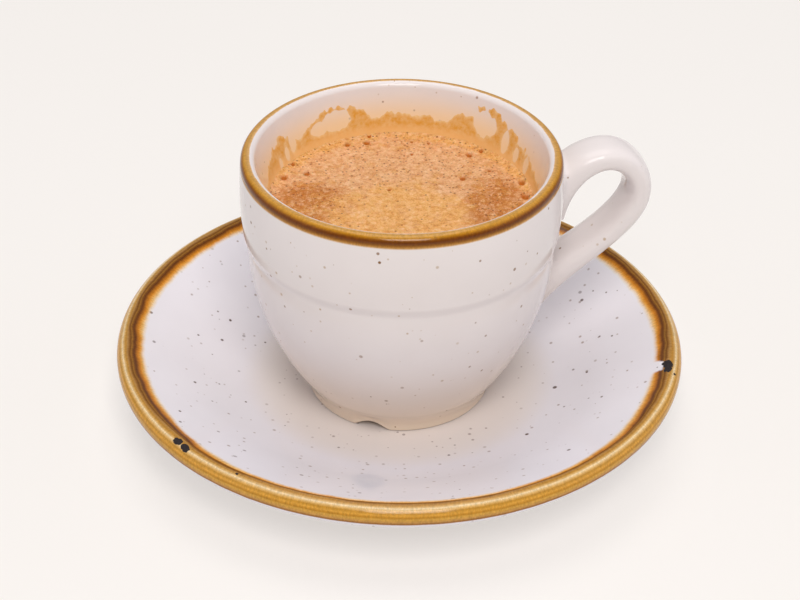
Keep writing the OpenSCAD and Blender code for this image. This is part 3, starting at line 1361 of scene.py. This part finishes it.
@dataclass(frozen=True)
class Crema:
    """The coffee with its foam: a solid up to a finely pitted, bubbly surface."""

    cup: Cup
    cells: int = 250
    into_wall: float = 0.2
    turn: float = -11.0
    bubble_size: float = 0.55
    pit_size: float = 1.0
    froth_depth: float = 0.1
    swell_depth: float = 0.5
    seed: float = 4.0
    hollows: tuple[Hollow, ...] = (
        Hollow(-11.5, 22.0, 0.55), Hollow(-7.5, 23.0, 0.7), Hollow(-7.0, 25.5, 0.45),
        Hollow(-19.5, 10.0, 0.6), Hollow(-24.0, 8.0, 0.7), Hollow(2.0, 18.5, 0.35), Hollow(2.0, 23.5, 0.35),
        Hollow(5.5, 23.0, 0.35), Hollow(14.0, 18.5, 0.65), Hollow(16.5, 20.0, 0.5), Hollow(12.5, 9.0, 0.65),
        Hollow(18.0, 12.0, 0.4), Hollow(-2.5, 4.0, 0.4), Hollow(24.5, 7.5, 0.7), Hollow(25.0, 2.0, 0.8),
        Hollow(-22.5, 13.5, 0.5)
    )

    def surface(self) -> tuple[np.ndarray, list, int]:
        """A square grid mapped evenly onto the round surface.

        Returns:
            The points, the faces, and the number of points round the edge.
        """
        n = self.cells
        radius = self.cup.fill_radius + self.into_wall
        side = np.linspace(-1, 1, n + 1)
        a, b = np.meshgrid(side, side, indexing="ij")
        a, b = a.ravel(), b.ravel()
        wide = np.abs(a) > np.abs(b)
        r = np.where(wide, a, b)
        with np.errstate(divide="ignore", invalid="ignore"):
            phi = np.where(wide, math.pi / 4 * b / a, math.pi / 2 - math.pi / 4 * a / b)
        phi = np.nan_to_num(phi)
        top = self.cup.base + self.cup.fill_height
        points = np.stack(
            [radius * r * np.cos(phi), radius * r * np.sin(phi), np.full(len(r), top)], axis=1
        )
        faces = [
            (
                i * (n + 1) + j, (i + 1) * (n + 1) + j, (i + 1) * (n + 1) + j + 1, i * (n + 1) + j + 1
            ) for i in range(n) for j in range(n)
        ]
        return points, faces, 4 * n

    def start(self) -> bpy.types.Mesh:
        """The foam's surface and the coffee's body below it, before the relief.

        Returns:
            The mesh, with its colour and froth marks.
        """
        points, faces, count = self.surface()
        n = self.cells
        edge = (
            [i * (n + 1) for i in range(n)] + [n * (n + 1) + j for j in range(n)] + [
                i * (n + 1) + n for i in range(n, 0, -1)
            ] + [j for j in range(n, 0, -1)]
        )
        rim = points[edge]
        angle = np.arctan2(rim[:, 1], rim[:, 0])
        rings = [np.array(edge)]
        body = [(r + self.into_wall, z + self.cup.base) for r, z in self.cup.cavity()[3:-1:3]]
        verts = [points]
        size = len(points)
        for r, z in body:
            verts.append(np.stack([r * np.cos(angle), r * np.sin(angle), np.full(count, z)], axis=1))
            rings.append(np.arange(size, size + count))
            size += count
        verts.append(np.array([[0, 0, self.cup.base + self.cup.floor - self.into_wall]]))
        for upper, lower in zip(rings, rings[1:]):
            for i in range(count):
                j = (i + 1) % count
                faces.append((int(upper[i]), int(lower[i]), int(lower[j]), int(upper[j])))
        last = rings[-1]
        faces += [(int(last[i]), size, int(last[(i + 1) % count])) for i in range(count)]
        every = np.concatenate(verts)
        top = np.zeros(len(every))
        top[: len(points)] = 1
        marks = {"top": top, **self.zones(every)}
        return plain_mesh("crema_start", every, [], faces, marks)

    def zones(self, points: np.ndarray) -> dict[str, np.ndarray]:
        """Where the foam is golden, brown, frothy or sunk.

        Args:
            points: Places in mm.

        Returns:
            Marks from 0 to 1 at each point.
        """
        turn = math.radians(-self.turn)
        x = points[:, 0] * math.cos(turn) - points[:, 1] * math.sin(turn)
        y = points[:, 0] * math.sin(turn) + points[:, 1] * math.cos(turn)
        warp = np.array([grain(Vector(p), 6.0, 2.0) for p in points[:, :3]])
        radius = np.hypot(x, y)
        golden = 1 - smooth_step(0.65, 1.25, np.hypot((x + 0.5) / 14, (y + 6) / 13) + 0.35 * warp)
        left = 1 - smooth_step(0.5, 1.2, np.hypot((x + 17) / 9, (y + 4) / 12) + 0.3 * warp)
        right = 1 - smooth_step(0.5, 1.2, np.hypot((x - 19) / 8, (y + 2) / 12) + 0.3 * warp)
        front = smooth_step(-17, -24, y)
        brown = np.clip(np.maximum(np.maximum(left, right), 0.6 * front), 0, 1)
        back = smooth_step(-2, 12, y + 3 * warp)
        frothy = np.clip(back + 0.8 * left + 0.8 * right, 0.1, 1) * (1 - 0.7 * golden)
        sunk = np.zeros(len(x))
        dip = np.zeros(len(x))
        for hole in self.hollows:
            away = np.hypot(x - hole.x, (y - hole.y) / 1.5) / (1.15 * hole.radius)
            sunk = np.maximum(sunk, 1 - smooth_step(0.55, 1.05, away))
            dip += np.where(
                away < 1, -0.8 * hole.radius * np.sqrt(np.clip(1 - away**2, 0, 1)),
                0.1 * hole.radius * np.exp(-(((away - 1.15) / 0.2) ** 2))
            )
        golden = np.maximum(golden, 0.9 * smooth_step(3.0, 0.8, self.cup.fill_radius - radius) * back)
        # The foam climbs a little where it wets the wall
        climb = 0.45 * np.exp(-(self.cup.fill_radius - radius) / 0.6)
        return {"golden": golden, "brown": brown, "frothy": frothy, "sunk": sunk, "dip": dip + climb}

    def tree(self) -> bpy.types.NodeTree:
        """Builds the geometry tree of the foam's relief.

        Returns:
            The tree, which takes the mesh from start().
        """
        tree, given = geometry_tree(
            "foam_relief",
            {
                "Bubble size": "NodeSocketFloat", "Pit size": "NodeSocketFloat",
                "Froth depth": "NodeSocketFloat", "Swell depth": "NodeSocketFloat",
                "Seed": "NodeSocketFloat"
            }
        )
        value = {socket.name: socket for socket in given.outputs}
        for label in ("frothy", "dip", "top"):
            value[label] = add(tree, "GeometryNodeInputNamedAttribute", {"Name": label}, data_type="FLOAT")
        place = add(tree, "GeometryNodeInputPosition")
        # Small standing bubbles are rounded cells; larger ones leave pits where they burst
        for cells, size in (("domes", "Bubble size"), ("pits", "Pit size")):
            scale = add(tree, "ShaderNodeMath", {0: 1.0, 1: value[size]}, operation="DIVIDE")
            value[cells] = add(
                tree, "ShaderNodeTexVoronoi", {"Vector": place, "W": value["Seed"], "Scale": scale},
                voronoi_dimensions="4D"
            )
        luck = add(tree, "FunctionNodeSeparateColor", {0: value["pits"].outputs["Color"]})
        bowl = add(
            tree, "ShaderNodeMapRange",
            {0: value["pits"].outputs["Distance"], 1: 0.1, 2: 0.34, 3: -1.6, 4: 0.0},
            interpolation_type="SMOOTHSTEP"
        )
        swell = add(
            tree, "ShaderNodeTexNoise",
            {"Vector": place, "W": value["Seed"], "Scale": 1 / (5 * MM), "Detail": 3.0},
            noise_dimensions="4D"
        )
        value.update(luck=luck.outputs[0], bowl=bowl, away=value["domes"].outputs["Distance"], swell=swell)
        # Each row is a result, an operation and what it works on
        for result, operation, *terms in (
            ("chance", "MULTIPLY", "frothy", 0.55),
            ("burst", "LESS_THAN", "luck", "chance"),
            ("dome", "SUBTRACT", 0.5, "away"),
            ("relief", "MULTIPLY_ADD", "bowl", "burst", "dome"),
            ("froth", "MULTIPLY", "relief", "frothy"),
            ("fine", "MULTIPLY", "froth", "Froth depth"),
            ("wave", "SUBTRACT", "swell", 0.5),
            ("waved", "MULTIPLY_ADD", "wave", "Swell depth", "fine"),
            ("height", "MULTIPLY_ADD", "dip", MM, "waved"),
            ("lift", "MULTIPLY", "height", "top"),
        ):
            sources = {slot: value.get(term, term) for slot, term in enumerate(terms)}
            value[result] = add(tree, "ShaderNodeMath", sources, operation=operation)
        offset = add(tree, "ShaderNodeCombineXYZ", {"Z": value["lift"]})
        shaped = add(tree, "GeometryNodeSetPosition", {0: value["Geometry"], "Offset": offset})
        close_tree(tree, given, shaped)
        return tree

    def build(self, finish: bpy.types.Material) -> bpy.types.Object:
        """Makes the coffee.

        Args:
            finish: The foam's material.

        Returns:
            The piece.
        """
        crema = grown(
            "espresso_crema", self.start(), self.tree(),
            {
                "Bubble size": self.bubble_size * MM, "Pit size": self.pit_size * MM,
                "Froth depth": self.froth_depth * MM, "Swell depth": self.swell_depth * MM,
                "Seed": self.seed, "Finish": finish
            }
        )
        outwards(crema.data)
        return crema


@dataclass(frozen=True)
class Gap:
    """A bare place in the film."""

    azimuth: float
    height: float
    half_width: float
    half_height: float


@dataclass(frozen=True)
class Film:
    """The smear that the crema left on the wall above the coffee."""

    cup: Cup
    columns: int = 900
    rows: int = 48
    reach: float = 10.0
    thickness: float = 0.06
    fade: float = 1.0
    rag: float = 1.3
    gap_rag: float = 0.3
    sunk: float = 0.12
    tops: tuple[Point, ...] = (
        (-180, 0.4), (-140, 0.6), (-100, 0.3), (-60, 0.7), (-25, 0.9), (-8, 3.2), (8, 4.4), (20, 5.6),
        (28, 7.0), (36, 8.8), (48, 8.9), (54, 6.0), (59, 4.2), (72, 4.8), (86, 5.2), (91, 3.8), (97, 6.4),
        (105, 7.6), (116, 7.6), (122, 6.0), (128, 5.0), (133, 6.2), (140, 6.6), (147, 6.4), (154, 4.6),
        (162, 2.2), (172, 0.8), (180, 0.4)
    )
    gaps: tuple[Gap, ...] = (
        Gap(109, 4.4, 2.6, 1.9), Gap(118, 3.7, 1.6, 1.1), Gap(134, 4.4, 0.6, 1.9),
        Gap(128.5, 5.4, 1.4, 1.3), Gap(139, 2.3, 0.4, 0.9), Gap(145, 1.2, 0.35, 0.8),
        Gap(41, 5.2, 2.3, 2.3), Gap(50, 7.6, 1.6, 1.6), Gap(28.5, 3.4, 0.7, 1.7), Gap(20, 2.4, 0.5, 1.0),
        Gap(11, 2.3, 0.6, 1.2)
    )

    def start(self) -> bpy.types.Mesh:
        """A sheet on the wall that knows how deep the film is at each point.

        Returns:
            The mesh, with "depth" positive where there is film.
        """
        azimuth = np.linspace(-180, 180, self.columns, endpoint=False)
        height = np.linspace(-0.5, self.reach - 0.6, self.rows)
        az, up = (g.ravel() for g in np.meshgrid(azimuth, height, indexing="ij"))
        tops = np.array(self.tops)
        limit = np.interp(az, tops[:, 0], tops[:, 1])
        fill = self.cup.fill_height
        radius = self.cup.wall_at(fill + np.maximum(up, 0))
        x, y = radius * np.cos(np.radians(az)), radius * np.sin(np.radians(az))
        points = np.stack([x, y, self.cup.base + fill + up], axis=1)
        coarse = [grain(Vector((px, py, pz * 0.45)), 2.2, 5.0) for px, py, pz in points]
        fine = [grain(Vector((px, py, pz * 0.5)), 0.8, 9.0) for px, py, pz in points]
        rag = np.array(coarse) + 0.7 * np.array(fine)
        depth = limit - up + self.rag * rag * np.minimum(1, limit / 3)
        for gap in self.gaps:
            side = np.radians(az - gap.azimuth) * self.cup.fill_radius / gap.half_width
            over = (up - gap.height) / gap.half_height
            away = np.hypot(side, over) + self.gap_rag * rag
            depth = np.minimum(depth, (away - 1) * min(gap.half_width, gap.half_height) * 1.2)
        faces = []
        for i in range(self.columns):
            left, right = i * self.rows, (i + 1) % self.columns * self.rows
            faces += [(left + j, right + j, right + j + 1, left + j + 1) for j in range(self.rows - 1)]
        return plain_mesh("coffee_film", points, [], faces, {"depth": np.clip(depth, -1, 1.2)})

    def tree(self) -> bpy.types.NodeTree:
        """Builds the geometry tree that thickens the film and drops the bare places.

        Returns:
            The tree, which takes the sheet from start().
        """
        tree, given = geometry_tree(
            "film_on_the_wall", {"Thickness": "NodeSocketFloat", "Fade": "NodeSocketFloat"}
        )
        value = given.outputs
        depth = add(tree, "GeometryNodeInputNamedAttribute", {"Name": "depth"}, data_type="FLOAT")
        out = add(
            tree, "ShaderNodeVectorMath", {0: add(tree, "GeometryNodeInputPosition"), 1: (-1, -1, 0)},
            operation="MULTIPLY"
        )
        inward = add(tree, "ShaderNodeVectorMath", {0: out}, operation="NORMALIZE")
        # The skin rises from just inside the wall to its full thickness over the fade
        rise = add(
            tree, "ShaderNodeMapRange",
            {0: depth, 1: -0.25, 2: value["Fade"], 3: -0.03 * MM, 4: value["Thickness"]},
            interpolation_type="SMOOTHERSTEP"
        )
        push = add(tree, "ShaderNodeVectorMath", {0: inward, "Scale": rise}, operation="SCALE")
        empty = add(
            tree, "FunctionNodeCompare", {0: depth, 1: -0.2}, data_type="FLOAT", operation="LESS_THAN"
        )
        kept = add(
            tree, "GeometryNodeDeleteGeometry", {0: value["Geometry"], 1: empty}, domain="POINT", mode="ALL"
        )
        front = add(tree, "GeometryNodeSetPosition", {0: kept, "Offset": push})
        close_tree(tree, given, front)
        return tree

    def build(self, finish: bpy.types.Material) -> bpy.types.Object:
        """Makes the film as a closed skin that sits into the wall.

        Args:
            finish: The film's material.

        Returns:
            The piece.
        """
        film = grown(
            "coffee_film", self.start(), self.tree(),
            {"Thickness": self.thickness * MM, "Fade": self.fade, "Finish": finish}
        )
        work = bmesh.new()
        work.from_mesh(film.data)
        front = list(work.faces)
        for face in front:
            face.normal_update()
            middle = face.calc_center_median()
            if face.normal.dot(Vector((middle.x, middle.y, 0))) > 0:
                face.normal_flip()
        copy = bmesh.ops.duplicate(work, geom=[*work.verts, *work.edges, *work.faces])
        back = dict(copy["vert_map"].items())
        for part in copy["geom"]:
            if isinstance(part, bmesh.types.BMFace):
                part.normal_flip()
            if isinstance(part, bmesh.types.BMVert):
                height = max(part.co.z / MM - self.cup.base, self.cup.fill_height)
                reach = float(self.cup.wall_at(np.array(height))) + self.sunk
                away = Vector((part.co.x, part.co.y, 0)).normalized()
                part.co.x, part.co.y = (away * reach * MM).xy
        for edge in [e for f in front for e in f.edges if e.is_boundary]:
            a, b = edge.verts
            if edge.link_loops[0].vert is not a:
                a, b = b, a
            work.faces.new((b, a, back[a], back[b]))
        work.to_mesh(film.data)
        work.free()
        for face in film.data.polygons:
            face.use_smooth = True
        return film


@dataclass(frozen=True)
class Softbox:
    """A large soft lamp, far from the object."""

    name: str
    azimuth: float
    elevation: float
    distance: float
    width: float
    height: float
    power: float
    colour: str = "#ffffff"


@dataclass(frozen=True)
class Studio:
    """Pale floor, soft light and the camera."""

    aim: tuple[float, float, float] = (0.0, 0.0, 25.2)
    azimuth: float = -11.0
    elevation: float = 34.17
    distance: float = 418.2
    roll: float = 0.8
    lens: float = 90.68
    sensor: float = 36.0
    floor_size: float = 12.0
    world: float = 0.36
    world_colour: str = "#ffffff"
    lamps: tuple[Softbox, ...] = (
        Softbox("softbox_front", -6, 53, 1.2, 0.5, 0.5, 7.6, "#fffaf6"),
        Softbox("softbox_overhead", 180, 78, 1.2, 0.8, 0.8, 4.6, "#fffaf6"),
        Softbox("softbox_left", -95, 30, 2.0, 2.2, 1.8, 5.2, "#dfe4ff"),
        Softbox("softbox_right", 80, 30, 2.0, 2.2, 1.8, 6.6, "#e4e8ff")
    )

    def direction(self, azimuth: float, elevation: float) -> Vector:
        """Unit vector from the object towards a place round it."""
        a, e = math.radians(azimuth), math.radians(elevation)
        return Vector((math.sin(a) * math.cos(e), -math.cos(a) * math.cos(e), math.sin(e)))

    def build(self) -> None:
        """Lays the floor, hangs the lamps and sets up the camera."""
        scene = bpy.context.scene
        scene.view_settings.view_transform = "Standard"
        half = self.floor_size / 2 / MM
        sheet = plain_mesh(
            "floor", np.array([(-half, -half, 0), (half, -half, 0), (half, half, 0), (-half, half, 0)]), [],
            [(0, 1, 2, 3)], {}
        )
        floor = placed("floor", sheet)
        floor.data.materials.append(BacklitPaper().build())
        world = bpy.data.worlds.new("studio_air")
        scene.world = world
        world.use_nodes = True
        air = world.node_tree.nodes["Background"]
        air.inputs["Color"].default_value = linear(self.world_colour)
        air.inputs["Strength"].default_value = self.world
        middle = Vector(self.aim) * MM
        for lamp in self.lamps:
            light = bpy.data.lights.new(lamp.name, "AREA")
            light.shape, light.size, light.size_y = "RECTANGLE", lamp.width, lamp.height
            light.energy = lamp.power
            light.color = linear(lamp.colour)[:3]
            holder = bpy.data.objects.new(lamp.name, light)
            scene.collection.objects.link(holder)
            away = self.direction(lamp.azimuth, lamp.elevation)
            holder.location = middle + away * lamp.distance
            holder.rotation_euler = away.to_track_quat("Z", "Y").to_euler()
        camera = bpy.data.cameras.new("camera")
        camera.lens, camera.sensor_width = self.lens, self.sensor
        camera.clip_start = 0.01
        holder = bpy.data.objects.new("camera", camera)
        scene.collection.objects.link(holder)
        away = self.direction(self.azimuth, self.elevation)
        turn = (math.radians(90 - self.elevation), 0, math.radians(self.azimuth))
        tilt = Matrix.Rotation(math.radians(self.roll), 3, "Z")
        facing = (Euler(turn, "XYZ").to_matrix() @ tilt).to_4x4()
        holder.matrix_world = Matrix.Translation(middle + away * self.distance * MM) @ facing
        scene.camera = holder


SAUCER_GLAZE = StonewareGlaze(
    name="stoneware_glaze_speckled_saucer", white="#e8e5eb", shade="#e0dce2",
    specks=(Speck(2.0, 0.4, 0.68, 0.6, "#ab9c99"), Speck(2.4, 0.46, 0.26, 0.4, "#5f4a46")),
    band=EdgeBand(
        outer=-4.7, inner=3.15, outer_fade=0.15, inner_fade=0.65, rag=0.16, sway=0.5,
        # The pale stops from -1.75 to -1.05 mm are a painted highlight along the lip's outer crest
        colours=(
            (-4.8, "#a06c30"), (-4.35, "#99662a"), (-4.0, "#c08d45"), (-3.4, "#cc9a3e"), (-3.05, "#b57f26"),
            (-2.6, "#d39a3e"), (-2.1, "#b5832c"), (-1.75, "#d0a25a"), (-1.5, "#dcbb84"), (-1.25, "#e6cda2"),
            (-1.05, "#d0aa6c"), (-0.65, "#b3802f"), (-0.25, "#a87d42"), (0.1, "#87581e"), (0.35, "#6f4210"),
            (0.62, "#95651e"), (0.85, "#7d4c12"), (1.2, "#5f3206"), (1.5, "#7c4508"), (1.8, "#a86414"),
            (2.2, "#c97f1e"), (2.6, "#dca04a"), (3.4, "#e8c88f")
        )
    ),
    # The warm tint on the seat round the cup's foot is painted shade
    streak_radius=57.0, painted_warm_shade="#e2dad6", painted_shade_heights=(7.5, 5.5), stained="#e8e5eb", stain_reach=(60.0, 90.0)
)

CUP_GLAZE = StonewareGlaze(
    name="stoneware_glaze_speckled_cup", white="#e6dfde", shade="#e0d8d6",
    specks=(Speck(2.3, 0.36, 0.6, 0.6, "#bda68e"), Speck(2.7, 0.42, 0.3, 0.45, "#85603c")),
    band=EdgeBand(
        outer=-3.1, inner=0.42, outer_fade=0.2, inner_fade=0.12, rag=0.07, sway=0.12,
        colours=(
            (-3.4, "#dcb47e"), (-3.0, "#cb9c5c"), (-2.75, "#b27c34"), (-2.45, "#8a5408"), (-2.1, "#6e3a00"),
            (-1.75, "#6a3400"), (-1.45, "#7e4600"), (-1.2, "#9c6204"), (-0.95, "#b57c1c"),
            (-0.6, "#c69038"), (-0.2, "#bf9048"), (0.1, "#c89a5c"), (0.5, "#dcb27a")
        )
    ),
    # The warm tint low on the belly is painted shade with warm bounce light
    streak_radius=30.5, painted_warm_shade="#e3cfb9", painted_shade_heights=(34.0, 5.0), stained="#efcfa4", stain_reach=(1.5, 9.5)
)


def main() -> None:
    """Builds every piece in order and hands it to the frame."""
    logging.basicConfig(level=logging.INFO, format="%(name)s %(message)s")
    bare = BareStoneware().build()
    cup = Cup()
    ride_root(Saucer().build(SAUCER_GLAZE.build(), bare), Slot.SAUCER, "saucer")
    ride_root(cup.build(CUP_GLAZE.build(), bare), Slot.CUP, "cup")
    ride_root(Crema(cup).build(CremaFoam().build()), Slot.CREMA, "espresso")
    ride_root(Film(cup).build(CoffeeFilm().build()), Slot.CREMA)
    Studio().build()
    LOG.info("sizes written")


if __name__ == "__main__":
    main()
